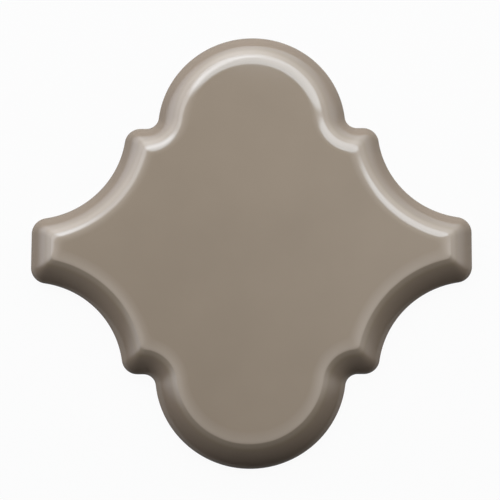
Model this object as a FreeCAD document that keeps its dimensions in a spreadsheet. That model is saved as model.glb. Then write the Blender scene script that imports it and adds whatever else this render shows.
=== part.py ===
import FreeCAD, Part
import math
import os
import Sketcher

# One pressed and glazed wall tile with an arabesque outline.
# It lies on its back: X runs tip to tip, Y lobe to lobe, Z up through the face.

NODE = "arabesque_tile"

# Driving dimensions in millimetres.
DRIVING = (
    ("lobe_radius", 32.2, "round lobe at the head and the foot"),
    ("cove_radius", 31.8, "hollow that takes a neighbour's lobe"),
    ("step_width", 11.0, "step between lobe and hollow"),
    ("tip_height", 22.0, "blunt tip between two hollows"),
    ("notch_radius", 4.2, "inside corner where lobe meets step"),
    ("step_corner_radius", 5.4, "outside corner where step meets hollow"),
    ("tip_corner_radius", 5.5, "outside corner where hollow meets tip"),
    ("edge_height", 2.8, "wall from the back to the rim"),
    ("bevel_width", 7.8, "wall to shoulder, square to the outline"),
    ("roll_width", 3.3, "shoulder to flat face, where the face rolls off"),
    ("bevel_drop", 6.5, "flat face down to the top of the wall"),
    ("bevel_radius", 21.0, "crown of the bevel"),
    ("shoulder_radius", 1.4, "tight round between bevel and face"),
    ("roll_radius", 24.5, "slight round of the face's border"),
    ("rim_radius", 0.7, "round between wall and bevel"),
    ("draft_width", 0.9, "how far the wall leans in at the back"),
    ("draft_height", 2.5, "leaning part of the wall"),
    ("back_land", 9.0, "unbroken border of the back"),
    ("key_width", 6.5, "mortar key pressed into the back"),
    ("key_pitch", 13.0, "spacing of the mortar keys"),
    ("key_depth", 0.8, "depth of the mortar keys"),
)

# How far a cutting shape runs past the stock.
OVERRUN = 1.0
# Share of a straight that the rounds at its ends may use up.
ROUND_SHARE = 0.98

# Sizes that follow from the driving ones. A turn is the angle by which
# an arc falls short of a right angle where a corner round leads into it.
LENGTHS = (
    ("half_width", "sizes.lobe_radius + sizes.step_width + sizes.cove_radius"),
    ("level", "sizes.cove_radius + sizes.tip_height / 2"),
    ("thickness", "sizes.edge_height + sizes.bevel_drop"),
    ("flat_start", "sizes.bevel_width + sizes.roll_width"),
    ("round_fit", f"min(1; {ROUND_SHARE} * sizes.step_width"
                  " / (sizes.notch_radius + sizes.step_corner_radius))"),
    ("notch", "sizes.notch_radius * round_fit"),
    ("step_round", "sizes.step_corner_radius * round_fit"),
    ("tip_round", f"min(sizes.tip_corner_radius; {ROUND_SHARE} * sizes.tip_height / 2)"),
    ("notch_x", "(sizes.lobe_radius + notch) * cos(notch_turn)"),
    ("step_x", "half_width - (sizes.cove_radius + step_round) * cos(step_turn)"),
    ("tip_y", "level - (sizes.cove_radius + tip_round) * cos(tip_turn)"),
)
ANGLES = (
    ("notch_turn", "asin(notch / (sizes.lobe_radius + notch))"),
    ("step_turn", "asin(step_round / (sizes.cove_radius + step_round))"),
    ("tip_turn", "asin(tip_round / (sizes.cove_radius + tip_round))"),
)

# Stretches of a quarter of the outline, clockwise from the head to the tip.
# Each has its start, the direction into the tile there, the arc's centre as a
# distance into the tile (below zero outside it), and the arc's turn; a straight
# stretch has no centre, and its length in place of the turn.
STRETCHES = (
    ("lobe", "0", "layout.level + sizes.lobe_radius", "-90 deg",
     "sizes.lobe_radius", "layout.notch_turn - 90 deg"),
    ("notch", "sizes.lobe_radius * cos(layout.notch_turn)",
     "layout.level + sizes.lobe_radius * sin(layout.notch_turn)",
     "180 deg + layout.notch_turn", "-layout.notch", "90 deg - layout.notch_turn"),
    ("step", "layout.notch_x", "layout.level", "-90 deg",
     None, "layout.step_x - layout.notch_x"),
    ("step_corner", "layout.step_x", "layout.level", "-90 deg",
     "layout.step_round", "layout.step_turn - 90 deg"),
    ("cove", "layout.half_width - sizes.cove_radius * cos(layout.step_turn)",
     "layout.level - sizes.cove_radius * sin(layout.step_turn)",
     "180 deg + layout.step_turn", "-sizes.cove_radius",
     "90 deg - layout.step_turn - layout.tip_turn"),
    ("tip_corner", "layout.half_width - sizes.cove_radius * sin(layout.tip_turn)",
     "layout.level - sizes.cove_radius * cos(layout.tip_turn)",
     "270 deg - layout.tip_turn", "layout.tip_round", "layout.tip_turn - 90 deg"),
    ("tip", "layout.half_width", "layout.tip_y", "180 deg",
     None, "layout.tip_y"),
)

QUARTER_TURN = math.pi / 2
HALF_TURN = math.pi
UPRIGHT = FreeCAD.Rotation(FreeCAD.Vector(1, 0, 0), 90)
X_WAYS = FreeCAD.Vector(1, 0, 0)
Y_WAYS = FreeCAD.Vector(0, 1, 0)
Z_WAYS = FreeCAD.Vector(0, 0, 1)

# Names for the points of a sketch line or arc, and for the sketch's own axes.
START, END, CENTRE = range(1, 4)
H_AXIS, V_AXIS = range(-1, -3, -1)
ROOT = (H_AXIS, START)


def bind(target, **expressions):
    for path, expression in expressions.items():
        target.setExpression(path.replace("__", "."), expression)
    return target


def add_sizes():
    sheet = doc.addObject("Spreadsheet::Sheet", "sizes")
    for row, (alias, value, note) in enumerate(DRIVING, start=1):
        sheet.set(f"A{row}", note)
        sheet.set(f"B{row}", str(value))
        sheet.setAlias(f"B{row}", alias)
    layout = doc.addObject("App::VarSet", "layout")
    for name, _ in LENGTHS:
        layout.addProperty("App::PropertyFloat", name)
    for name, _ in ANGLES:
        layout.addProperty("App::PropertyAngle", name)
    bind(layout, **dict(LENGTHS + ANGLES))
    doc.recompute()
    return sheet, layout


def segment(sketch, start, end, construction=False):
    line = Part.LineSegment(FreeCAD.Vector(*start, 0), FreeCAD.Vector(*end, 0))
    return sketch.addGeometry(line, construction)


def arc(sketch, centre, radius, first, last):
    circle = Part.Circle(FreeCAD.Vector(*centre, 0), Z_WAYS, radius)
    return sketch.addGeometry(Part.ArcOfCircle(circle, first, last), False)


def tie(sketch, *constraints):
    for constraint in constraints:
        sketch.addConstraint(Sketcher.Constraint(*constraint))


def drive(sketch, kind, places, value, expression):
    index = sketch.addConstraint(Sketcher.Constraint(kind, *places, value))
    sketch.setExpression(f"Constraints[{index}]", expression)


def bearing(way):
    return math.atan2(way.y, way.x)


def touching_both(first, first_reach, second, second_reach):
    """The lower of the two points at the given distances from two others."""
    span = second - first
    along = (first_reach ** 2 - second_reach ** 2 + span.Length ** 2) / (2 * span.Length)
    aside = math.sqrt(first_reach ** 2 - along ** 2)
    way = span / span.Length
    return first + way * along + FreeCAD.Vector(way.y, -way.x) * aside


def quarter_blank():
    """The stock under a quarter of the outline, as thick as the tile."""
    body = doc.addObject("PartDesign::Body", "quarter_blank")
    sketch = body.newObject("Sketcher::SketchObject", "quarter_outline")
    floor = [plane for plane in body.Origin.OriginFeatures if plane.Role == "XY_Plane"][0]
    sketch.AttachmentSupport = [(floor, "")]
    sketch.MapMode = "FlatFace"

    level, half_width = layout.level, layout.half_width
    notch_turn, step_turn, tip_turn = (
        math.radians(turn.Value) for turn in (layout.notch_turn, layout.step_turn, layout.tip_turn))
    lobe = arc(sketch, (0, level), sizes.lobe_radius, notch_turn, QUARTER_TURN)
    notch = arc(sketch, (layout.notch_x, level + layout.notch), layout.notch,
                HALF_TURN + notch_turn, HALF_TURN + QUARTER_TURN)
    step = segment(sketch, (layout.notch_x, level), (layout.step_x, level))
    step_corner = arc(sketch, (layout.step_x, level - layout.step_round), layout.step_round,
                      step_turn, QUARTER_TURN)
    cove = arc(sketch, (half_width, level), sizes.cove_radius,
               HALF_TURN + step_turn, HALF_TURN + QUARTER_TURN - tip_turn)
    tip_corner = arc(sketch, (half_width - layout.tip_round, layout.tip_y), layout.tip_round,
                     0, QUARTER_TURN - tip_turn)
    tip = segment(sketch, (half_width, layout.tip_y), (half_width, 0))
    across = segment(sketch, (half_width, 0), (0, 0))
    along = segment(sketch, (0, 0), (0, level + sizes.lobe_radius))

    tie(sketch,
        ("Coincident", across, END, *ROOT),
        ("Coincident", along, START, *ROOT),
        ("Horizontal", across),
        ("Vertical", along),
        ("Vertical", tip),
        ("Horizontal", step),
        ("Coincident", tip, END, across, START),
        ("Coincident", lobe, END, along, END),
        ("PointOnObject", lobe, CENTRE, V_AXIS),
        ("Tangent", lobe, START, notch, START),
        ("Tangent", notch, END, step, START),
        ("Tangent", step, END, step_corner, END),
        ("Tangent", step_corner, START, cove, START),
        ("Tangent", cove, END, tip_corner, END),
        ("Tangent", tip_corner, START, tip, START),
        ("Horizontal", lobe, CENTRE, step, START),
        ("Horizontal", cove, CENTRE, step, START),
        ("Vertical", cove, CENTRE, tip, START))
    drive(sketch, "Radius", (lobe,), sizes.lobe_radius, "sizes.lobe_radius")
    drive(sketch, "Radius", (notch,), layout.notch, "layout.notch")
    drive(sketch, "Radius", (step_corner,), layout.step_round, "layout.step_round")
    drive(sketch, "Radius", (cove,), sizes.cove_radius, "sizes.cove_radius")
    drive(sketch, "Radius", (tip_corner,), layout.tip_round, "layout.tip_round")
    drive(sketch, "DistanceX", (*ROOT, cove, CENTRE), half_width, "layout.half_width")
    drive(sketch, "DistanceY", (*ROOT, cove, CENTRE), level, "layout.level")

    pad = body.newObject("PartDesign::Pad", "blank_pad")
    pad.Profile = sketch
    bind(pad, Length="layout.thickness")
    body.Tip = pad
    return body


def upright_sketch(name):
    """A section seen along the outline: X runs into the tile from its wall, Z up."""
    sketch = doc.addObject("Sketcher::SketchObject", name)
    sketch.Placement.Rotation = UPRIGHT
    return sketch


def upright_face(name, sketch):
    face = doc.addObject("Part::Face", name)
    face.Sources = [sketch]
    return face


def upright_plane(name, length, width):
    plane = doc.addObject("Part::Plane", name)
    plane.Placement = FreeCAD.Placement(FreeCAD.Vector(-OVERRUN, 0, -OVERRUN), UPRIGHT)
    return bind(plane, Length=length, Width=width)


def bevel_section():
    """What the bevel takes off: rounded rim, crowned slope, tight shoulder and a slight roll to the face."""
    sketch = upright_sketch("bevel_sketch")
    wall, top, face = sizes.edge_height, layout.thickness, layout.flat_start
    rim_centre = FreeCAD.Vector(sizes.rim_radius, wall)
    roll_centre = FreeCAD.Vector(face, top - sizes.roll_radius)
    rise = math.sqrt((sizes.roll_radius - sizes.shoulder_radius) ** 2 - sizes.roll_width ** 2)
    shoulder_centre = FreeCAD.Vector(sizes.bevel_width, roll_centre.y + rise)
    bevel_centre = touching_both(rim_centre, sizes.bevel_radius - sizes.rim_radius,
                                 shoulder_centre, sizes.bevel_radius - sizes.shoulder_radius)
    rim_end = bearing(rim_centre - bevel_centre)
    bevel_end = bearing(shoulder_centre - bevel_centre)
    shoulder_end = bearing(shoulder_centre - roll_centre)

    under = segment(sketch, (-OVERRUN, wall), (0, wall))
    rim = arc(sketch, rim_centre[:2], sizes.rim_radius, rim_end, HALF_TURN)
    bevel = arc(sketch, bevel_centre[:2], sizes.bevel_radius, bevel_end, rim_end)
    shoulder = arc(sketch, shoulder_centre[:2], sizes.shoulder_radius, shoulder_end, bevel_end)
    roll = arc(sketch, roll_centre[:2], sizes.roll_radius, QUARTER_TURN, shoulder_end)
    inner = segment(sketch, (face, top), (face, top + OVERRUN))
    over = segment(sketch, (face, top + OVERRUN), (-OVERRUN, top + OVERRUN))
    outer = segment(sketch, (-OVERRUN, top + OVERRUN), (-OVERRUN, wall))

    tie(sketch,
        ("Coincident", under, END, rim, END),
        ("Tangent", rim, START, bevel, END),
        ("Tangent", bevel, START, shoulder, END),
        ("Tangent", shoulder, START, roll, END),
        ("Coincident", roll, START, inner, START),
        ("Coincident", inner, END, over, START),
        ("Coincident", over, END, outer, START),
        ("Coincident", outer, END, under, START),
        ("Horizontal", under),
        ("Vertical", inner),
        ("Horizontal", over),
        ("Vertical", outer),
        ("PointOnObject", under, END, V_AXIS),
        ("Horizontal", rim, CENTRE, under, END),
        ("Vertical", roll, CENTRE, inner, START),
        ("DistanceX", outer, END, *ROOT, OVERRUN),
        ("DistanceY", inner, START, inner, END, OVERRUN))
    drive(sketch, "Radius", (rim,), sizes.rim_radius, "sizes.rim_radius")
    drive(sketch, "Radius", (bevel,), sizes.bevel_radius, "sizes.bevel_radius")
    drive(sketch, "Radius", (shoulder,), sizes.shoulder_radius, "sizes.shoulder_radius")
    drive(sketch, "Radius", (roll,), sizes.roll_radius, "sizes.roll_radius")
    drive(sketch, "DistanceX", (*ROOT, shoulder, CENTRE), sizes.bevel_width, "sizes.bevel_width")
    drive(sketch, "DistanceX", (*ROOT, inner, START), face, "layout.flat_start")
    drive(sketch, "DistanceY", (*ROOT, under, END), wall, "sizes.edge_height")
    drive(sketch, "DistanceY", (*ROOT, inner, START), top, "layout.thickness")
    return upright_face("bevel_section", sketch)


def draft_section():
    """What the lean of the wall takes off towards the back."""
    sketch = upright_sketch("draft_sketch")
    width, height = sizes.draft_width, sizes.draft_height
    under = segment(sketch, (-OVERRUN, -OVERRUN), (width, -OVERRUN))
    inner = segment(sketch, (width, -OVERRUN), (width, 0))
    slant = segment(sketch, (width, 0), (0, height))
    over = segment(sketch, (0, height), (-OVERRUN, height))
    outer = segment(sketch, (-OVERRUN, height), (-OVERRUN, -OVERRUN))
    tie(sketch,
        ("Coincident", under, END, inner, START),
        ("Coincident", inner, END, slant, START),
        ("Coincident", slant, END, over, START),
        ("Coincident", over, END, outer, START),
        ("Coincident", outer, END, under, START),
        ("Horizontal", under),
        ("Vertical", inner),
        ("Horizontal", over),
        ("Vertical", outer),
        ("PointOnObject", inner, END, H_AXIS),
        ("PointOnObject", slant, END, V_AXIS),
        ("DistanceX", under, START, *ROOT, OVERRUN),
        ("DistanceY", under, START, *ROOT, OVERRUN))
    drive(sketch, "DistanceX", (*ROOT, inner, END), width, "sizes.draft_width")
    drive(sketch, "DistanceY", (*ROOT, slant, END), height, "sizes.draft_height")
    return upright_face("draft_section", sketch)


def land_section():
    """The border of the back that the mortar keys stop short of."""
    return upright_plane("land_section", f"sizes.back_land + {OVERRUN}",
                         f"sizes.key_depth + {2 * OVERRUN}")


def along_outline(name, section):
    """The section carried along every stretch of the quarter outline.

    Round an outside corner it stops at the corner's own centre. Further in, the
    stretches on both sides run across each other and leave a mitre.
    """
    strips = []
    for stretch, x, y, inward, centre, travel in STRETCHES:
        if centre is None:
            strip = doc.addObject("Part::Extrusion", f"{name}_{stretch}")
            strip.Base = section
            strip.DirMode = "Custom"
            strip.Dir = Y_WAYS
            bind(strip, LengthFwd=travel)
        else:
            source = section
            if not centre.startswith("-"):
                source = doc.addObject("Part::Common", f"{name}_{stretch}_section")
                source.Base = section
                source.Tool = upright_plane(f"{name}_{stretch}_limit", f"{centre} + {OVERRUN}",
                                            f"layout.thickness + {3 * OVERRUN}")
            strip = doc.addObject("Part::Revolution", f"{name}_{stretch}")
            strip.Source = source
            strip.Axis = Z_WAYS
            bind(strip, Base__x=centre, Angle=travel)
        bind(strip, Placement__Base__x=x, Placement__Base__y=y, Placement__Rotation__Angle=inward)
        strips.append(strip)
    return fused(name, strips)


def fused(name, shapes, refine=False):
    fusion = doc.addObject("Part::MultiFuse", name)
    fusion.Shapes = shapes
    fusion.Refine = refine
    return fusion


def cut(name, base, tool):
    result = doc.addObject("Part::Cut", name)
    result.Base = base
    result.Tool = tool
    return result


def mirrored(name, source, normal):
    mirror = doc.addObject("Part::Mirroring", name)
    mirror.Source = source
    mirror.Normal = normal
    return mirror


def mortar_keys():
    """Parallel keys across the back, with a rib on the middle line of the tile."""
    count = math.ceil((layout.level + sizes.lobe_radius) / sizes.key_pitch)
    bars = []
    for index in range(count):
        bar = doc.addObject("Part::Box", f"key_{index + 1}")
        bar.Placement.Base.z = -OVERRUN
        bind(bar, Length="layout.half_width", Width="sizes.key_width",
             Height=f"sizes.key_depth + {OVERRUN}",
             Placement__Base__y=f"({index} + 1 / 2) * sizes.key_pitch - sizes.key_width / 2")
        bars.append(bar)
    return cut("mortar_keys", fused("key_bars", bars), along_outline("land", land_section()))


doc = FreeCAD.newDocument(NODE)
sizes, layout = add_sizes()
bevelled = cut("bevelled", quarter_blank(), along_outline("bevel", bevel_section()))
drafted = cut("drafted", bevelled, along_outline("draft", draft_section()))
quarter = cut("quarter", drafted, mortar_keys())
right_half = fused("right_half", [quarter, mirrored("lower_quarter", quarter, Y_WAYS)])
left_half = mirrored("left_half", right_half, X_WAYS)
tile = fused("tile", [right_half, left_half], refine=True)
tile.Label = NODE
doc.recompute()

for item in doc.Objects:
    if "Invalid" in item.State or "Error" in item.State:
        raise RuntimeError(f"{item.Name} did not build: {item.State}")
    if hasattr(item, "Shape") and (item.Shape.isNull() or not item.Shape.isValid()):
        raise RuntimeError(f"{item.Name} has no sound shape")
if len(tile.Shape.Solids) != 1:
    raise RuntimeError("the tile is not one solid")

os.makedirs("parts", exist_ok=True)
tile.Shape.exportStep(f"parts/{NODE}.step")
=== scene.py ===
import math

import bmesh
import bpy
from bpy.props import FloatProperty, FloatVectorProperty, PointerProperty
from mathutils import Matrix, Vector
from mathutils.geometry import delaunay_2d_cdt
from mathutils.kdtree import KDTree


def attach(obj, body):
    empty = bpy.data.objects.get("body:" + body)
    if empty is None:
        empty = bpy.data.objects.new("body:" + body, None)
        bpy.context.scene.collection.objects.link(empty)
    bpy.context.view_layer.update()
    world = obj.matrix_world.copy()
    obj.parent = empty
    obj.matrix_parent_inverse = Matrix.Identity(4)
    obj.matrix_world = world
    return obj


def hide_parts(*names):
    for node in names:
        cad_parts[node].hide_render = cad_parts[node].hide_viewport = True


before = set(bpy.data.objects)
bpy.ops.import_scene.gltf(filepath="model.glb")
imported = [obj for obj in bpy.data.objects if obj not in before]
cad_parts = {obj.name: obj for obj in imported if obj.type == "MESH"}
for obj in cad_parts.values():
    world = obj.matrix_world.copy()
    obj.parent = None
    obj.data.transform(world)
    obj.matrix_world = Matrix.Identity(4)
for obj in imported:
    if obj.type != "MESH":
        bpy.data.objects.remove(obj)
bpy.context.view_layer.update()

bl_info = {
    "name": "Arabesque wall tile",
    "version": (1, 0, 0),
    "blender": (4, 5, 0),
    "location": "3D View > Sidebar > Tile",
    "description": "Makes a glazed arabesque wall tile with a mitred bevel, laid face up on a pale floor",
    "category": "Add Mesh",
}

MM = 0.001

# Depths in from the outline, in millimetres, where the face has rings of mesh points.
# They lie closest where the section bends most, at the rim and at the shoulder.
RING_DEPTHS = (0.03, 0.1, 0.2, 0.35, 0.55, 0.8, 1.2, 1.8, 2.4, 3.0, 3.6, 4.2, 4.8, 5.4, 6.0, 6.5, 6.9,
               7.1, 7.2, 7.3, 7.4, 7.5, 7.6, 7.8, 8.2, 8.7, 9.3, 9.9, 10.4, 10.8, 11.1, 11.5)
SHARP_ANGLE = math.radians(38)

# Radius and height, in metres, of the rings of the flat floor and of the sweep that turns up round it
FLOOR_RINGS = ((0.001, 0.0), (0.6, 0.0), (1.6, 0.0))
SWEEP_RINGS = ((1.6, 0.0), (2.0, 0.05), (2.4, 0.2), (2.7, 0.5), (2.9, 0.9), (3.0, 1.5), (3.0, 4.0))
FLOOR_SIDES = 64

# Kinds of node that are used often, and sockets that go by number: those of a Mix node that mixes
# colours, and those of a Compare node that compares whole numbers
MATH = "ShaderNodeMath"
VECTOR_MATH = "ShaderNodeVectorMath"
COMBINE = "ShaderNodeCombineXYZ"
SEPARATE = "ShaderNodeSeparateXYZ"
SWITCH = "GeometryNodeSwitch"
PROXIMITY = "GeometryNodeProximity"
STORE = "GeometryNodeStoreNamedAttribute"
NOISE = "ShaderNodeTexNoise"
MAP_RANGE = "ShaderNodeMapRange"
MIX = "ShaderNodeMix"
MIX_FROM, MIX_TO, MIX_RESULT = 6, 7, 2
COMPARED, COMPARED_WITH = 2, 3


# What the user may change

def linear(hex_colour):
    """The linear red, green and blue of an sRGB hex colour."""
    channels = []
    for i in (0, 2, 4):
        value = int(hex_colour[i:i + 2], 16) / 255
        channels.append(value / 12.92 if value <= 0.04045 else ((value + 0.055) / 1.055) ** 2.4)
    return tuple(channels)


def length(name, description, millimetres):
    """A size that the user may change, given in millimetres and kept in metres."""
    return FloatProperty(name=name, description=description, default=millimetres * MM, min=0.0,
                         precision=5, unit="LENGTH")


def angle(name, description, radians):
    """An angle that the user may change."""
    return FloatProperty(name=name, description=description, default=radians, subtype="ANGLE")


def colour(name, description, hex_colour):
    """A colour that the user may change, given as sRGB hex and kept linear."""
    return FloatVectorProperty(name=name, description=description, default=linear(hex_colour), size=3,
                               min=0.0, max=1.0, subtype="COLOR")


class TileSizes(bpy.types.PropertyGroup):
    """Sizes of the tile"""
    lobe_radius: length("Lobe radius", "Round of the upper and lower lobes", 32.2)
    cove_radius: length("Cove radius", "Round of the four hollows that neighbours' lobes fill", 31.8)
    step_width: length("Step width", "From the widest point of a lobe to the start of the hollow", 11.0)
    tip_height: length("Tip height", "Height of the blunt tip between two hollows", 22.0)
    notch_radius: length("Notch radius", "Round of the inner corner between lobe and step", 4.2)
    step_corner_radius: length("Step corner radius", "Round of the outer corner of the step", 5.4)
    tip_corner_radius: length("Tip corner radius", "Round of the corners of the blunt tip", 5.5)
    edge_height: length("Edge height", "Height of the upright edge under the bevel", 2.8)
    bevel_width: length("Bevel width", "From the edge in to the shoulder", 7.8)
    roll_width: length("Roll width", "From the shoulder in to where the face is flat", 3.3)
    bevel_drop: length("Bevel drop", "From the flat face down to the upright edge", 6.5)
    bevel_radius: length("Bevel crown", "Round of the crowned bevel", 21.0)
    shoulder_radius: length("Shoulder radius", "Tight round between the bevel and the face", 1.4)
    roll_radius: length("Roll radius", "Slight round of the face towards the shoulder", 24.5)
    mitre_softening: length("Mitre softening", "How far to each side the glaze rounds the mitres over", 1.4)
    rim_radius: length("Rim radius", "Round between the bevel and the upright edge", 0.7)
    draft_width: length("Draft width", "How far the edge leans in at the back, to leave the press", 0.9)
    draft_height: length("Draft height", "Height of the leaning part of the edge", 2.5)
    back_land: length("Back land", "Plain margin round the keys of the back", 9.0)
    key_width: length("Key width", "Width of each shallow key in the back", 6.5)
    key_pitch: length("Key pitch", "From one key to the next", 13.0)
    key_depth: length("Key depth", "Depth of the keys that the adhesive fills", 0.8)
    spacing: length("Mesh spacing", "From one mesh point to the next along the outline", 0.5)


class TileLook(bpy.types.PropertyGroup):
    """Colours and gloss of the tile"""
    glaze: colour("Glaze", "Taupe of the glaze on the face", "6C6052")
    glaze_deep: colour("Deep glaze", "Cooler taupe where the glaze gathered on the bevel", "6B5F53")
    # The pale shoulder tone is partly glaze drawn thin and partly a painted highlight along the shoulder
    glaze_thin_and_highlight: colour("Thin glaze", "Paler taupe where the glaze draws thin at the shoulder", "807569")
    biscuit: colour("Biscuit", "Fired clay that shows on the back and low on the edge", "CDB69B")
    biscuit_dark: colour("Dark biscuit", "Grog and burnt specks in the fired clay", "A98C6C")
    gloss: FloatProperty(name="Glaze roughness", description="How far the fired glaze blurs what it mirrors",
                         default=0.05, min=0.0, max=1.0, subtype="FACTOR")


class Studio(bpy.types.PropertyGroup):
    """Floor and camera"""
    floor: colour("Floor", "Pale floor that the tile lies on", "FDFDFD")
    turn: angle("Camera turn", "Turn of the camera about its line of sight", -0.0047)
    tilt: angle("Camera tilt", "Lean of the view from straight down", -0.2178)
    lean: angle("Camera lean", "Lean of the view to the side", -0.0334)
    distance: length("Camera distance", "From the camera to the rim of the tile", 1027.3)
    lens: FloatProperty(name="Lens", description="Focal length on a sensor 36 mm wide, in millimetres",
                        default=217.364, min=1.0)


# Node trees and materials

def node(tree, kind, feeds=(), **settings):
    """Adds a node with its settings, and feeds its inputs with nodes, sockets or plain values.

    A tuple feeds the inputs in order, and a dict by their names or numbers. A node given as a value
    feeds its first output.
    """
    new = tree.nodes.new(kind)
    column, row = len(tree.nodes) % 12, len(tree.nodes) // 12
    new.location = (220 * column, -260 * row)
    for name, value in settings.items():
        setattr(new, name, value)
    inputs = feeds if isinstance(feeds, dict) else dict(enumerate(feeds))
    for key, value in inputs.items():
        if isinstance(value, bpy.types.Node):
            value = value.outputs[0]
        if isinstance(value, bpy.types.NodeSocket):
            tree.links.new(value, new.inputs[key])
        else:
            new.inputs[key].default_value = value
    return new


def empty_material(name):
    """A new material and its node tree, with no nodes yet."""
    material = bpy.data.materials.new(name)
    material.use_nodes = True
    material.node_tree.nodes.clear()
    return material, material.node_tree


# The outline and the flat sheets that it bounds

def outline(sizes):
    """Points round the whole outline, each with the direction straight into the tile."""
    right = math.pi / 2
    level = sizes.cove_radius + sizes.tip_height / 2
    half = sizes.lobe_radius + sizes.step_width + sizes.cove_radius
    lobe_to_notch = sizes.lobe_radius + sizes.notch_radius
    cove_to_corner = sizes.cove_radius + sizes.step_corner_radius
    cove_to_tip = sizes.cove_radius + sizes.tip_corner_radius
    to_notch = math.asin(sizes.notch_radius / lobe_to_notch)
    to_cove = math.asin(sizes.step_corner_radius / cove_to_corner)
    to_tip = math.asin(sizes.tip_corner_radius / cove_to_tip)
    lobe = Vector((0, level))
    notch = Vector((lobe_to_notch * math.cos(to_notch), level + sizes.notch_radius))
    corner = Vector((half - cove_to_corner * math.cos(to_cove), level - sizes.step_corner_radius))
    cove = Vector((half, level))
    tip = Vector((half - sizes.tip_corner_radius, level - cove_to_tip * math.cos(to_tip)))
    quarter = []

    def bend(centre, radius, start, end, inward):
        count = math.ceil(radius * abs(end - start) / sizes.spacing)
        for i in range(count):
            around = start + (end - start) * i / count
            ray = Vector((math.cos(around), math.sin(around)))
            quarter.append((centre + radius * ray, inward * ray))

    def straight(start, end, inward):
        count = math.ceil((end - start).length / sizes.spacing)
        for i in range(count):
            quarter.append((start.lerp(end, i / count), Vector(inward)))

    bend(lobe, sizes.lobe_radius, right, to_notch, -1)
    bend(notch, sizes.notch_radius, math.pi + to_notch, 3 * right, 1)
    straight(Vector((notch.x, level)), Vector((corner.x, level)), (0, -1))
    bend(corner, sizes.step_corner_radius, right, to_cove, -1)
    bend(cove, sizes.cove_radius, math.pi + to_cove, 3 * right - to_tip, 1)
    bend(tip, sizes.tip_corner_radius, right - to_tip, 0, -1)
    straight(Vector((half, tip.y)), Vector((half, 0)), (-1, 0))
    quarter.append((Vector((half, 0)), Vector((-1, 0))))

    def mirrored(x, y):
        turned = [(Vector((p.x * x, p.y * y)), Vector((n.x * x, n.y * y))) for p, n in quarter]
        return turned if x * y > 0 else turned[::-1]

    return mirrored(1, 1)[:-1] + mirrored(1, -1)[:-1] + mirrored(-1, -1)[:-1] + mirrored(-1, 1)[:-1]


def border_finder(border):
    """A search tree that finds the nearest point of the outline."""
    near = KDTree(len(border))
    for i, (point, _) in enumerate(border):
        near.insert(point.to_3d(), i)
    near.balance()
    return near


def mitre_reaches(border, deepest, past):
    """How far straight in from each point of the outline that point stays the nearest one.

    A point that no mitre cuts off down to the deepest ring reaches a little past it.
    """
    near = border_finder(border)
    slack = 0.002 * MM
    exactness = 0.01 * MM

    def clear(point, inward, depth):
        return near.find((point + inward * depth).to_3d())[2] > depth - slack

    def reach(point, inward):
        if clear(point, inward, deepest):
            return deepest + past
        low, high = 0.0, deepest
        while high - low > exactness:
            middle = (low + high) / 2
            low, high = (middle, high) if clear(point, inward, middle) else (low, middle)
        return low

    return [reach(*place) for place in border]


def flat_sheet(name, sizes, depths, cuts=()):
    """A flat mesh inside the outline, with rings of points at the given depths and along the mitres."""
    border = outline(sizes)
    reaches = mitre_reaches(border, depths[-1], sizes.spacing)
    room_at_mitre = 0.2 * MM
    closest = 0.4 * sizes.spacing
    points = [point for point, _ in border]
    edges = [(i, (i + 1) % len(border)) for i in range(len(border))]
    for depth in depths:
        first = before = None
        for i, (point, inward) in enumerate(border):
            if reaches[i] < depth + room_at_mitre:
                before = None
                continue
            spot = point + inward * depth
            if before is not None and (points[before] - spot).length < closest:
                continue
            points.append(spot)
            this = len(points) - 1
            if before is not None:
                edges.append((before, this))
            if i == 0:
                first = this
            before = this
        if first is not None and before is not None:
            edges.append((before, first))

    # The mitres get one point in each small square that they pass through
    square = 0.25 * MM
    mitres = {}
    for (point, inward), deep in zip(border, reaches):
        spot = point + inward * deep
        if deep <= depths[-1]:
            mitres.setdefault((round(spot.x / square), round(spot.y / square)), spot)
    points += mitres.values()
    for start, end in cuts:
        edges.append((len(points), len(points) + 1))
        points += [start, end]

    # The sheet is divided in millimetres, and only inside the outline
    inside_only = 1
    merge_within = 1e-5
    flat, _, faces, *_ = delaunay_2d_cdt([p / MM for p in points], edges, [], inside_only, merge_within)
    mesh = bpy.data.meshes.new(name)
    mesh.from_pydata([(p.x * MM, p.y * MM, 0.0) for p in flat], [], [list(face) for face in faces])
    sheet = bpy.data.objects.new(name, mesh)
    bpy.context.scene.collection.objects.link(sheet)
    return sheet


def key_cuts(sizes):
    """Straight cuts across the back along both sides of every key, as far as the plain margin."""
    near = border_finder(outline(sizes))
    half = sizes.lobe_radius + sizes.cove_radius + sizes.tip_height / 2
    step = 0.1 * MM

    def inside(x, y):
        return near.find((x, y, 0))[2] > sizes.back_land

    cuts = []
    row = 0
    while (row + 0.5) * sizes.key_pitch < half:
        for side in (-0.5, 0.5):
            y = (row + 0.5) * sizes.key_pitch + side * sizes.key_width
            if inside(0, y):
                end = 0.0
                while inside(end, y):
                    end += step
                end += step
                cuts += [(Vector((-end, sign * y)), Vector((end, sign * y))) for sign in (1, -1)]
        row += 1
    return cuts


# The tile's section and the tree that raises the sheets to it

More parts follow.
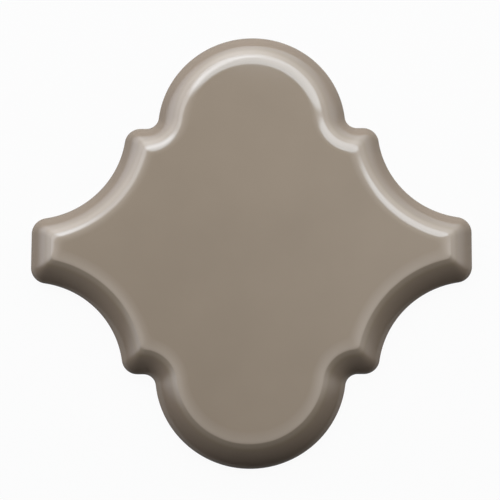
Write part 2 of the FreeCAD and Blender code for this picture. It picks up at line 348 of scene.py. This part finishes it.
def bevel_section(sizes):
    """Centres and ends of the rounds that make up the bevel, in from the edge and up from the back.

    Rim, crowned bevel, shoulder and roll touch in one smooth line.
    """
    rim = Vector((sizes.rim_radius, sizes.edge_height))
    roll = Vector((sizes.bevel_width + sizes.roll_width,
                   sizes.edge_height + sizes.bevel_drop - sizes.roll_radius))
    rise = math.sqrt((sizes.roll_radius - sizes.shoulder_radius) ** 2 - sizes.roll_width ** 2)
    shoulder = Vector((sizes.bevel_width, roll.y + rise))
    to_rim = sizes.bevel_radius - sizes.rim_radius
    to_shoulder = sizes.bevel_radius - sizes.shoulder_radius
    apart = shoulder - rim
    along = (to_rim ** 2 - to_shoulder ** 2 + apart.length_squared) / (2 * apart.length)
    aside = math.sqrt(to_rim ** 2 - along ** 2)
    bevel = rim + along * apart.normalized() + aside * Vector((apart.y, -apart.x)).normalized()
    return {
        "Rim end": bevel.x + (rim - bevel).normalized().x * sizes.bevel_radius,
        "Bevel centre in": bevel.x,
        "Bevel centre up": bevel.y,
        "Bevel end": bevel.x + (shoulder - bevel).normalized().x * sizes.bevel_radius,
        "Shoulder centre in": shoulder.x,
        "Shoulder centre up": shoulder.y,
        "Shoulder end": roll.x + (shoulder - roll).normalized().x * sizes.roll_radius,
        "Roll centre in": roll.x,
        "Roll centre up": roll.y,
    }


def depth_inside(tree, sheet):
    """Which edges of a flat sheet are open, those edges alone, and how far in from them a point lies."""
    faces_beside = node(tree, "GeometryNodeInputMeshEdgeNeighbors")
    rim = node(tree, "FunctionNodeCompare", {COMPARED: faces_beside, COMPARED_WITH: 1}, data_type="INT",
               operation="EQUAL")
    border = node(tree, "GeometryNodeSeparateGeometry", (sheet, rim), domain="EDGE")
    near = node(tree, PROXIMITY, (border,), target_element="EDGES")
    return rim, border, near.outputs["Distance"]


def softened_depth(tree, border, depth, softening):
    """The depth averaged over two small rings of places round each point, as the glaze rounds the mitres.

    Near the rim the rings shrink, so the outline keeps its shape.
    """
    samples = 16
    inner_ring = 0.55
    half_depth = node(tree, MATH, (depth, 0.5), operation="MULTIPLY")
    reach = node(tree, MATH, (softening, half_depth), operation="MINIMUM")
    place = node(tree, "GeometryNodeInputPosition")
    total = depth
    for i in range(samples):
        on_outer_ring = i % 2
        around = math.tau * (i + 0.5 * on_outer_ring) / samples
        far = 1.0 if on_outer_ring else inner_ring
        way = (far * math.cos(around), far * math.sin(around), 0)
        ray = node(tree, VECTOR_MATH, {0: way, "Scale": reach}, operation="SCALE")
        spot = node(tree, VECTOR_MATH, (place, ray), operation="ADD")
        near = node(tree, PROXIMITY, {0: border, "Sample Position": spot}, target_element="EDGES")
        total = node(tree, MATH, (total, near.outputs["Distance"]), operation="ADD")
    return node(tree, MATH, (total, samples + 1.0), operation="DIVIDE")


def round_height(tree, depth, centre_in, centre_up, radius):
    """Height of one round of the section above the back, at a depth in from the edge."""
    aside = node(tree, MATH, (depth, centre_in), operation="SUBTRACT")
    aside_square = node(tree, MATH, (aside, aside), operation="MULTIPLY")
    radius_square = node(tree, MATH, (radius, radius), operation="MULTIPLY")
    rise_square = node(tree, MATH, (radius_square, aside_square), operation="SUBTRACT")
    rise_square = node(tree, MATH, (rise_square, 0.0), operation="MAXIMUM")
    rise = node(tree, MATH, (rise_square,), operation="SQRT")
    return node(tree, MATH, (centre_up, rise), operation="ADD")


def bevelled_face(tree, given):
    """The face with its bevel, and the upright edge that hangs from its rim."""
    face = given["Face sheet"]
    rim, border, depth = depth_inside(tree, face)
    depth = softened_depth(tree, border, depth, given["Mitre softening"])

    # The height follows the rim's round, the crowned bevel, the shoulder, the roll and the flat in turn
    height = round_height(tree, depth, given["Rim radius"], given["Edge height"], given["Rim radius"])
    for start, part in (("Rim end", "Bevel"), ("Bevel end", "Shoulder"), ("Shoulder end", "Roll")):
        bend = round_height(tree, depth, given[f"{part} centre in"], given[f"{part} centre up"],
                            given[f"{part} radius"])
        past = node(tree, MATH, (depth, given[start]), operation="GREATER_THAN")
        height = node(tree, SWITCH, (past, height, bend), input_type="FLOAT")
    flat = node(tree, MATH, (given["Roll centre up"], given["Roll radius"]), operation="ADD")
    past = node(tree, MATH, (depth, given["Roll centre in"]), operation="GREATER_THAN")
    height = node(tree, SWITCH, (past, height, flat), input_type="FLOAT")
    face = node(tree, STORE, {"Geometry": face, "Name": "rim_distance", "Value": depth},
                data_type="FLOAT", domain="POINT")
    lift = node(tree, COMBINE, {"Z": height})
    face = node(tree, "GeometryNodeSetPosition", {"Geometry": face, "Offset": lift})

    # The upright edge goes down to where the back starts to lean in
    fall = node(tree, MATH, (given["Draft height"], given["Edge height"]), operation="SUBTRACT")
    drop = node(tree, COMBINE, {"Z": fall})
    return node(tree, "GeometryNodeExtrudeMesh", {"Mesh": face, "Selection": rim, "Offset": drop},
                mode="EDGES")


def keyed_back(tree, given):
    """The back, which rises to the leaning edge all round and has keys pressed in at every pitch."""
    back = node(tree, "GeometryNodeObjectInfo", {"Object": given["Back sheet"]}).outputs["Geometry"]
    _, _, depth = depth_inside(tree, back)
    part_in = node(tree, MATH, (depth, given["Draft width"]), operation="DIVIDE")
    lean = node(tree, MATH, (1.0, part_in), operation="SUBTRACT")
    lean = node(tree, MATH, (lean, 0.0), operation="MAXIMUM")
    slope = node(tree, MATH, (lean, given["Draft height"]), operation="MULTIPLY")
    lift = node(tree, COMBINE, {"Z": slope})

    # A face belongs to a key where it lies within half a key of the middle of a row, inside the margin
    place = node(tree, SEPARATE, (node(tree, "GeometryNodeInputPosition"),))
    row = node(tree, MATH, (place.outputs["Y"], given["Key pitch"]), operation="DIVIDE")
    part_of_row = node(tree, MATH, (row,), operation="FRACT")
    aside = node(tree, MATH, (part_of_row, 0.5), operation="SUBTRACT")
    aside = node(tree, MATH, (aside,), operation="ABSOLUTE")
    aside = node(tree, MATH, (aside, given["Key pitch"]), operation="MULTIPLY")
    half_key = node(tree, MATH, (given["Key width"], 0.5), operation="MULTIPLY")
    in_row = node(tree, MATH, (aside, half_key), operation="LESS_THAN")
    in_land = node(tree, MATH, (depth, given["Back land"]), operation="GREATER_THAN")
    key = node(tree, MATH, (in_row, in_land), operation="MULTIPLY")
    flat = node(tree, MATH, (depth, given["Draft width"]), operation="GREATER_THAN")
    for name, value in (("key", key), ("bare", flat)):
        back = node(tree, STORE, {"Geometry": back, "Name": name, "Value": value},
                    data_type="FLOAT", domain="FACE")
    back = node(tree, "GeometryNodeSetPosition", {"Geometry": back, "Offset": lift})
    back = node(tree, "GeometryNodeFlipFaces", {"Mesh": back})
    pressed = node(tree, "GeometryNodeInputNamedAttribute", {"Name": "key"}, data_type="FLOAT")
    chosen = node(tree, MATH, (pressed, 0.5), operation="GREATER_THAN")
    press = node(tree, COMBINE, {"Z": given["Key depth"]})
    return node(tree, "GeometryNodeExtrudeMesh",
                {"Mesh": back, "Selection": chosen, "Offset": press, "Individual": False}, mode="FACES")


def tile_tree():
    """Raises a flat sheet to the bevel by its depth from the outline, and presses keys into the back."""
    tree = bpy.data.node_groups.new("bevelled_tile", "GeometryNodeTree")
    tree.interface.new_socket("Face sheet", in_out="INPUT", socket_type="NodeSocketGeometry")
    tree.interface.new_socket("Back sheet", in_out="INPUT", socket_type="NodeSocketObject")
    for name in ("Edge height", "Rim radius", "Rim end",
                 "Bevel centre in", "Bevel centre up", "Bevel radius", "Bevel end",
                 "Shoulder centre in", "Shoulder centre up", "Shoulder radius", "Shoulder end",
                 "Roll centre in", "Roll centre up", "Roll radius", "Mitre softening",
                 "Draft width", "Draft height", "Back land", "Key width", "Key pitch", "Key depth"):
        tree.interface.new_socket(name, in_out="INPUT", socket_type="NodeSocketFloat")
    for name in ("Glaze", "Biscuit"):
        tree.interface.new_socket(name, in_out="INPUT", socket_type="NodeSocketMaterial")
    tree.interface.new_socket("Tile", in_out="OUTPUT", socket_type="NodeSocketGeometry")
    given = node(tree, "NodeGroupInput").outputs

    # Face, edge and back become one skin, glazed but for the back
    both = node(tree, "GeometryNodeJoinGeometry")
    for part in (bevelled_face(tree, given), keyed_back(tree, given)):
        tree.links.new(part.outputs[0], both.inputs[0])
    skin = node(tree, "GeometryNodeMergeByDistance", {"Geometry": both, "Distance": 0.002 * MM})
    skin = node(tree, "GeometryNodeSetShadeSmooth", {"Geometry": skin, "Shade Smooth": True})
    skin = node(tree, "GeometryNodeRealizeInstances", {"Geometry": skin})
    skin = node(tree, "GeometryNodeSetMaterial", {"Geometry": skin, "Material": given["Glaze"]})
    bare = node(tree, "GeometryNodeInputNamedAttribute", {"Name": "bare"}, data_type="FLOAT")
    bare = node(tree, MATH, (bare, 0.5), operation="GREATER_THAN")
    skin = node(tree, "GeometryNodeSetMaterial",
                {"Geometry": skin, "Selection": bare, "Material": given["Biscuit"]})
    node(tree, "NodeGroupOutput", (skin,))
    return tree


# What the tile is made of

def gloss_glaze(look):
    """Fired gloss glaze on fired clay: a coloured glass that shows soft clouds, is paler round the shoulder,
    partly where it draws thin and partly as a painted highlight, and ends in a ragged line low on the
    upright edge, where the clay shows."""
    material, tree = empty_material("gloss_taupe_glaze")
    where = node(tree, "ShaderNodeTexCoord").outputs["Object"]
    depth = node(tree, "ShaderNodeAttribute", attribute_name="rim_distance").outputs["Fac"]

    # The glaze gathers on the bevel and evens out over the face. Round the shoulder the tone is paler:
    # partly glaze drawn thin, partly a painted highlight along the shoulder.
    # Each stop is a depth in millimetres and how far the tone goes to the pale shoulder tone there.
    span = 14 * MM
    bevel_end = 4.6 * MM
    even_start = 13.0 * MM
    thin_and_highlight_stops = ((5.4, 0.0), (6.3, 0.4), (7.2, 0.5), (7.6, 0.9), (8.2, 1.0), (9.0, 0.85), (10.0, 0.62),
                  (11.0, 0.42))
    face, thin = Vector(look.glaze), Vector(look.glaze_thin_and_highlight)
    ramp = node(tree, "ShaderNodeValToRGB", (node(tree, MATH, (depth, span), operation="DIVIDE"),))
    stops = ramp.color_ramp.elements
    stops[0].position = bevel_end / span
    stops[0].color = (*look.glaze_deep, 1)
    stops[1].position = even_start / span
    stops[1].color = (*face, 1)
    # These stops paint the pale shoulder tone, partly thin glaze and partly a painted highlight
    for depth_mm, thin_and_highlight_share in thin_and_highlight_stops:
        stops.new(depth_mm * MM / span).color = (*face.lerp(thin, thin_and_highlight_share), 1)

    # Clouds about 25 mm across, where the coat is a little deeper or thinner
    cloud = node(tree, NOISE, {"Vector": where, "Scale": 1 / (25 * MM), "Detail": 3.0})
    cloud = node(tree, MAP_RANGE, {"Value": cloud, "From Min": 0.3, "From Max": 0.7, "To Min": 0.97,
                                   "To Max": 1.03})
    glaze = node(tree, "ShaderNodeHueSaturation", {"Color": ramp, "Value": cloud})

    # The glaze's lower edge wanders by about a millimetre, in waves of about 6 mm
    height = node(tree, SEPARATE, (where,)).outputs["Z"]
    wander = node(tree, NOISE, {"Vector": where, "Scale": 1 / (6 * MM), "Detail": 4.0})
    edge = node(tree, MATH, (wander, 2.2 * MM, height), operation="MULTIPLY_ADD")
    bare = node(tree, MAP_RANGE, {"Value": edge, "From Min": 2.3 * MM, "From Max": 2.6 * MM, "To Min": 1.0,
                                  "To Max": 0.0})

    # The clay under it has grains of about 0.8 mm and is matt
    grain = node(tree, NOISE, {"Vector": where, "Scale": 1 / (0.8 * MM), "Detail": 4.0})
    clay = node(tree, MIX, {0: grain, MIX_FROM: (*look.biscuit, 1), MIX_TO: (*look.biscuit_dark, 1)},
                data_type="RGBA").outputs[MIX_RESULT]
    tone = node(tree, MIX, {0: bare, MIX_FROM: glaze.outputs[0], MIX_TO: clay},
                data_type="RGBA").outputs[MIX_RESULT]
    rough = node(tree, MAP_RANGE, {"Value": bare, "From Min": 0.0, "From Max": 1.0, "To Min": look.gloss,
                                   "To Max": 0.85})

    # Orange peel of about 4 mm, a few thousandths of a millimetre deep
    peel = node(tree, NOISE, {"Vector": where, "Scale": 1 / (4 * MM), "Detail": 1.0})
    bump = node(tree, "ShaderNodeBump", {"Height": peel, "Distance": 0.01 * MM, "Strength": 0.5})
    shader = node(tree, "ShaderNodeBsdfPrincipled",
                  {"Base Color": tone, "Roughness": rough, "IOR": 1.52, "Normal": bump})
    node(tree, "ShaderNodeOutputMaterial", {"Surface": shader})
    return material


def biscuit_clay(look):
    """Biscuit-fired pressed clay: pale, chalky and matt, with fine grog and a few darker specks."""
    material, tree = empty_material("pressed_biscuit_clay")
    where = node(tree, "ShaderNodeTexCoord").outputs["Object"]

    # Grains of about 0.8 mm, in stains of about 30 mm
    grain = node(tree, NOISE, {"Vector": where, "Scale": 1 / (0.8 * MM), "Detail": 4.0})
    stain = node(tree, NOISE, {"Vector": where, "Scale": 1 / (30 * MM), "Detail": 3.0})
    mottle = node(tree, MATH, (grain, stain), operation="MULTIPLY")
    tone = node(tree, MIX, {0: mottle, MIX_FROM: (*look.biscuit, 1), MIX_TO: (*look.biscuit_dark, 1)},
                data_type="RGBA").outputs[MIX_RESULT]
    bump = node(tree, "ShaderNodeBump", {"Height": grain, "Distance": 0.05 * MM, "Strength": 0.6})
    shader = node(tree, "ShaderNodeBsdfPrincipled",
                  {"Base Color": tone, "Roughness": 0.88, "IOR": 1.5, "Normal": bump})
    node(tree, "ShaderNodeOutputMaterial", {"Surface": shader})
    return material


class TILE_OT_make(bpy.types.Operator):
    """Makes the glazed tile with its bevel, upright edge and keyed back"""
    bl_idname = "tile.make"
    bl_label = "Make the tile"

    def execute(self, context):
        sizes = context.scene.tile_sizes
        look = context.scene.tile_look
        tile = flat_sheet("glazed_arabesque_tile", sizes, [depth * MM for depth in RING_DEPTHS])
        back = flat_sheet("back_sheet", sizes, [sizes.draft_width, sizes.back_land], key_cuts(sizes))
        tree = tile_tree()
        modifier = tile.modifiers.new("bevelled_tile", "NODES")
        modifier.node_group = tree
        values = {
            "Back sheet": back,
            "Edge height": sizes.edge_height,
            "Rim radius": sizes.rim_radius,
            "Bevel radius": sizes.bevel_radius,
            "Shoulder radius": sizes.shoulder_radius,
            "Roll radius": sizes.roll_radius,
            "Mitre softening": sizes.mitre_softening,
            **bevel_section(sizes),
            "Draft width": sizes.draft_width,
            "Draft height": sizes.draft_height,
            "Back land": sizes.back_land,
            "Key width": sizes.key_width,
            "Key pitch": sizes.key_pitch,
            "Key depth": sizes.key_depth,
            "Glaze": gloss_glaze(look),
            "Biscuit": biscuit_clay(look),
        }
        for socket in tree.interface.items_tree:
            if socket.name in values:
                modifier[socket.identifier] = values[socket.name]

        # The result becomes a plain mesh whose faces all point outwards
        ready = tile.evaluated_get(context.evaluated_depsgraph_get())
        mesh = bpy.data.meshes.new_from_object(ready)
        tile.modifiers.remove(modifier)
        tile.data = mesh
        bpy.data.objects.remove(back)
        form = bmesh.new()
        form.from_mesh(mesh)
        bmesh.ops.recalc_face_normals(form, faces=form.faces)
        form.to_mesh(mesh)
        form.free()
        mesh.set_sharp_from_angle(angle=SHARP_ANGLE)
        if not mesh.polygons:
            raise RuntimeError("the tile has no faces")
        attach(tile, "root")
        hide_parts("arabesque_tile")
        return {"FINISHED"}


# The stage

def white_paper(studio):
    """White background paper: matt, and lit by itself, so that it shows no edge and hardly any shadow.

    It is white where it is seen straight, and half as bright where the glaze mirrors it.
    """
    seen, mirrored = 0.97, 0.5
    hardly_lit = 0.012
    material, tree = empty_material("white_paper")
    straight = node(tree, "ShaderNodeLightPath").outputs["Is Camera Ray"]
    glow = node(tree, MATH, (straight, seen - mirrored, mirrored), operation="MULTIPLY_ADD")
    shader = node(tree, "ShaderNodeBsdfPrincipled",
                  {"Base Color": (hardly_lit, hardly_lit, hardly_lit, 1), "Roughness": 1.0,
                   "Specular IOR Level": 0.0, "Emission Color": (*studio.floor, 1),
                   "Emission Strength": glow})
    node(tree, "ShaderNodeOutputMaterial", {"Surface": shader})
    return material


def floor_part(name, rings, paper, flat):
    """A round part of the floor. The flat part is closed in the middle, and only that part is mirrored."""
    form = bmesh.new()
    rows = []
    for radius, up in rings:
        turns = [math.tau * i / FLOOR_SIDES for i in range(FLOOR_SIDES)]
        rows.append([form.verts.new((radius * math.cos(t), radius * math.sin(t), up)) for t in turns])
    for inner, outer in zip(rows, rows[1:]):
        for i in range(FLOOR_SIDES):
            after = (i + 1) % FLOOR_SIDES
            form.faces.new((inner[i], outer[i], outer[after], inner[after]))
    if flat:
        form.faces.new(rows[0])
    mesh = bpy.data.meshes.new(name)
    form.to_mesh(mesh)
    form.free()
    mesh.shade_smooth()
    mesh.materials.append(paper)
    ground = bpy.data.objects.new(name, mesh)
    bpy.context.scene.collection.objects.link(ground)
    ground.visible_diffuse = False
    ground.visible_glossy = flat


def softbox(name, place, wide, high, glow, sides, upper, lower, tint="FFFFFF", oval=False):
    """A soft lamp of a given size at a place in metres, turned to the tile.

    Its brightness falls away gently across each edge, over the widths given for
    its sides, its upper and its lower edge. An oval one falls away all round alike.
    """
    lamp = bpy.data.lights.new(name, "AREA")
    lamp.shape = "RECTANGLE"
    lamp.size = wide + sides
    lamp.size_y = high + max(upper, lower)
    lamp.energy = glow * math.pi * lamp.size * lamp.size_y
    lamp.color = linear(tint)
    lamp.use_nodes = True
    tree = lamp.node_tree
    spot = node(tree, "ShaderNodeNewGeometry").outputs["Parametric"]
    if oval:
        spread = (2 * lamp.size / wide, 2 * lamp.size_y / high, 0)
        aside = node(tree, VECTOR_MATH, (spot, (0.5, 0.5, 0)), operation="SUBTRACT")
        aside = node(tree, VECTOR_MATH, (aside, spread), operation="MULTIPLY")
        far = node(tree, VECTOR_MATH, (aside,), operation="LENGTH").outputs["Value"]
        light = node(tree, MAP_RANGE, {"Value": far, "From Min": 1 - upper / high,
                                       "From Max": 1 + upper / high, "To Min": 1.0, "To Max": 0.0},
                     interpolation_type="SMOOTHSTEP")
    else:
        across = node(tree, SEPARATE, (spot,)).outputs
        light = 1.0
        for axis, size, reach, way, fade in (("X", lamp.size, wide, -1, sides),
                                             ("X", lamp.size, wide, 1, sides),
                                             ("Y", lamp.size_y, high, 1, upper),
                                             ("Y", lamp.size_y, high, -1, lower)):
            middle = 0.5 + way * reach / 2 / size
            half_fade = way * fade / 2 / size
            edge = node(tree, MAP_RANGE, {"Value": across[axis], "From Min": middle - half_fade,
                                          "From Max": middle + half_fade, "To Min": 1.0, "To Max": 0.0},
                        interpolation_type="SMOOTHSTEP")
            light = node(tree, MATH, (light, edge), operation="MULTIPLY")
    tree.links.new(light.outputs[0], tree.nodes["Emission"].inputs["Strength"])
    holder = bpy.data.objects.new(name, lamp)
    holder.location = place
    holder.rotation_euler = (-Vector(place)).to_track_quat("-Z", "Y").to_euler()
    holder.visible_camera = False
    bpy.context.scene.collection.objects.link(holder)


def photo_camera(studio, sizes):
    """The camera, which looks down on the tile from a little below its lower lobe."""
    turned = (Matrix.Rotation(studio.turn, 3, "Z") @ Matrix.Rotation(studio.tilt, 3, "X")
              @ Matrix.Rotation(studio.lean, 3, "Y"))
    back = turned.transposed()

    # The line of sight meets the level of the rim a little off the middle of the tile
    aside, above = -0.345 * MM, 0.010 * MM
    rim_level = sizes.edge_height + 0.3 * MM
    eye = back @ Vector((aside, above, studio.distance))
    eye.z += rim_level
    view = bpy.data.cameras.new("photo_view")
    view.sensor_width = 36
    view.lens = studio.lens
    view.clip_end = 20
    camera = bpy.data.objects.new("photo_view", view)
    camera.matrix_world = Matrix.Translation(eye) @ back.to_4x4()
    bpy.context.scene.collection.objects.link(camera)
    return camera


class TILE_OT_stage(bpy.types.Operator):
    """Lays out the pale floor, the soft lamps and the camera of the photo's view"""
    bl_idname = "tile.stage"
    bl_label = "Set the stage"

    def execute(self, context):
        scene = context.scene
        scene.view_settings.view_transform = "Standard"
        paper = white_paper(scene.tile_studio)
        floor_part("studio_floor", FLOOR_RINGS, paper, flat=True)
        floor_part("studio_sweep", SWEEP_RINGS, paper, flat=False)

        # Nothing but the lamps gives light
        world = bpy.data.worlds.new("studio_room")
        world.use_nodes = True
        world.node_tree.nodes["Background"].inputs["Color"].default_value = (0.0, 0.0, 0.0, 1)
        scene.world = world

        # The overhead pair gives the bright crescent inside the shoulder, and the rest light the slopes
        softbox("back_softbox", (0.124, 0.616, 0.278), wide=0.664, high=0.830, glow=3.90,
                sides=0.621, upper=0.040, lower=1.400, tint="EFF8FF")
        softbox("overhead_softbox", (0.035, 0.446, 0.920), wide=0.610, high=0.225, glow=6.70,
                sides=0.120, upper=0.040, lower=0.040, tint="EDF7FF", oval=True)
        softbox("overhead_edge", (0.030, 0.557, 0.857), wide=0.800, high=0.070, glow=5.40,
                sides=0.200, upper=0.010, lower=0.010, tint="EDF7FF")
        softbox("left_softbox", (-0.405, 0.426, 0.400), wide=1.262, high=0.845, glow=3.90,
                sides=0.938, upper=0.050, lower=0.455, tint="F6F9FF")
        softbox("right_softbox", (0.320, 0.155, 0.231), wide=0.101, high=0.396, glow=9.00,
                sides=0.659, upper=1.058, lower=0.352)
        softbox("upper_left_fill", (-0.312, 0.067, 0.812), wide=0.209, high=0.150, glow=2.20,
                sides=1.489, upper=0.167, lower=0.200)
        softbox("upper_right_fill", (0.420, 0.162, 0.812), wide=0.189, high=0.209, glow=2.00,
                sides=0.196, upper=0.188, lower=0.277)
        scene.camera = photo_camera(scene.tile_studio, scene.tile_sizes)
        return {"FINISHED"}


class TILE_PT_panel(bpy.types.Panel):
    """Sizes and colours of the tile, and what makes it"""
    bl_idname = "TILE_PT_panel"
    bl_label = "Arabesque tile"
    bl_space_type = "VIEW_3D"
    bl_region_type = "UI"
    bl_category = "Tile"

    def draw(self, context):
        for group in (context.scene.tile_sizes, context.scene.tile_look, context.scene.tile_studio):
            box = self.layout.box()
            for name in group.bl_rna.properties.keys():
                if name not in ("rna_type", "name"):
                    box.prop(group, name)
        self.layout.operator(TILE_OT_make.bl_idname)
        self.layout.operator(TILE_OT_stage.bl_idname)


CLASSES = (TileSizes, TileLook, Studio, TILE_OT_make, TILE_OT_stage, TILE_PT_panel)


def register():
    for each in CLASSES:
        bpy.utils.register_class(each)
    bpy.types.Scene.tile_sizes = PointerProperty(type=TileSizes)
    bpy.types.Scene.tile_look = PointerProperty(type=TileLook)
    bpy.types.Scene.tile_studio = PointerProperty(type=Studio)


def unregister():
    del bpy.types.Scene.tile_studio
    del bpy.types.Scene.tile_look
    del bpy.types.Scene.tile_sizes
    for each in reversed(CLASSES):
        bpy.utils.unregister_class(each)


def main():
    register()
    bpy.ops.tile.make()
    bpy.ops.tile.stage()


if __name__ == "__main__":
    main()
